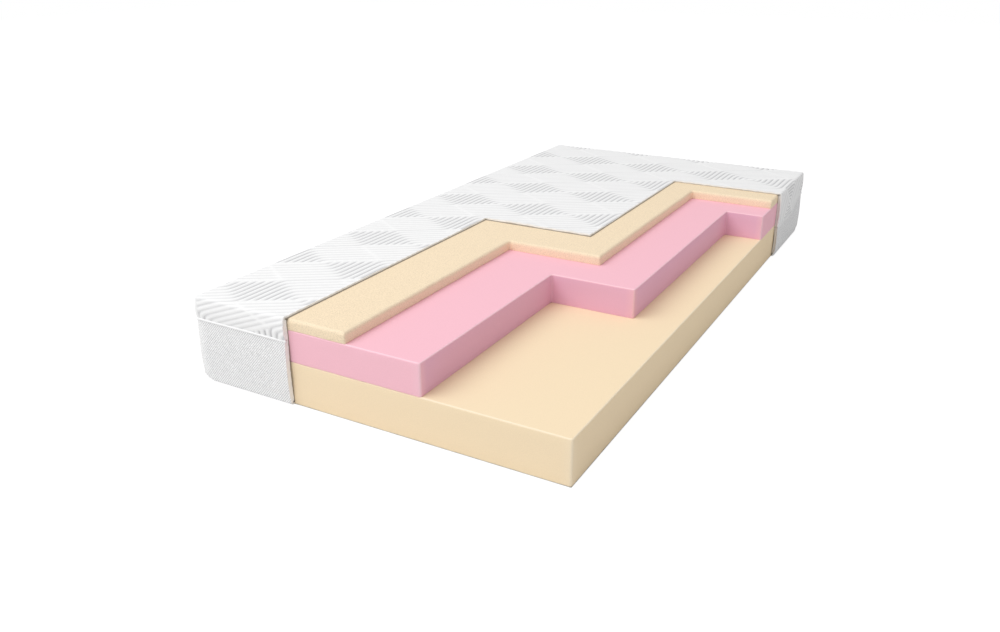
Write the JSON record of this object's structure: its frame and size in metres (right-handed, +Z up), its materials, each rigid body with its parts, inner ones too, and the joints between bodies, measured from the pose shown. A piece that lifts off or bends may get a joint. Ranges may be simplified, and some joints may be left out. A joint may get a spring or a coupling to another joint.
{
  "type": "foam mattress",
  "caption": "Foam mattress in a ribbed knit zip cover with a grey twill border, cut open in steps to show a cream base, a pink middle and a thin memory foam top.",
  "frame": {"origin": "on the floor under the middle of the mattress", "axes": "+X across the mattress towards the cut-open side, +Y along it towards its far end, +Z up"},
  "size_m": [1.0101, 2.01, 0.223],
  "materials": {
    "base_foam": "matte",
    "middle_foam": "matte",
    "top_foam": "matte",
    "knit": "matte",
    "wadding": "matte",
    "twill": "matte",
    "bottom_cloth": "matte",
    "piping": "matte",
    "zip_tape": "matte",
    "zip_coil": "satin",
    "zip_metal": "satin"
  },
  "bodies": {
    "mattress": {"base_foam": "base_foam", "middle_foam": "middle_foam", "top_foam": "top_foam", "upper_knit": "knit", "upper_wadding": "wadding", "border_twill": "twill", "border_wadding": "wadding", "bottom_panel": "bottom_cloth", "seam_piping_near": "piping", "seam_piping_far": "piping", "zip_tape_upper": "zip_tape", "zip_tape_lower": "zip_tape", "zip_coil_upper": "zip_coil", "zip_coil_lower": "zip_coil", "zip_top_stop_upper": "zip_metal", "zip_top_stop_lower": "zip_metal", "zip_bottom_stop": "zip_metal"},
    "slider": {"zip_slider": "zip_metal"},
    "pull": {"zip_pull": "zip_metal"}
  },
  "joints": [
    {"name": "zip_slide", "type": "slide", "parent": "mattress", "child": "slider", "axis": [0, 1, 0], "range_m": [0, 1.515]},
    {"name": "pull_swing", "type": "hinge", "parent": "slider", "child": "pull", "pos_m": [-0.5032, -0.76485, 0.102], "axis": [0, 0, 1], "range_deg": [0, 170]}
  ]
}
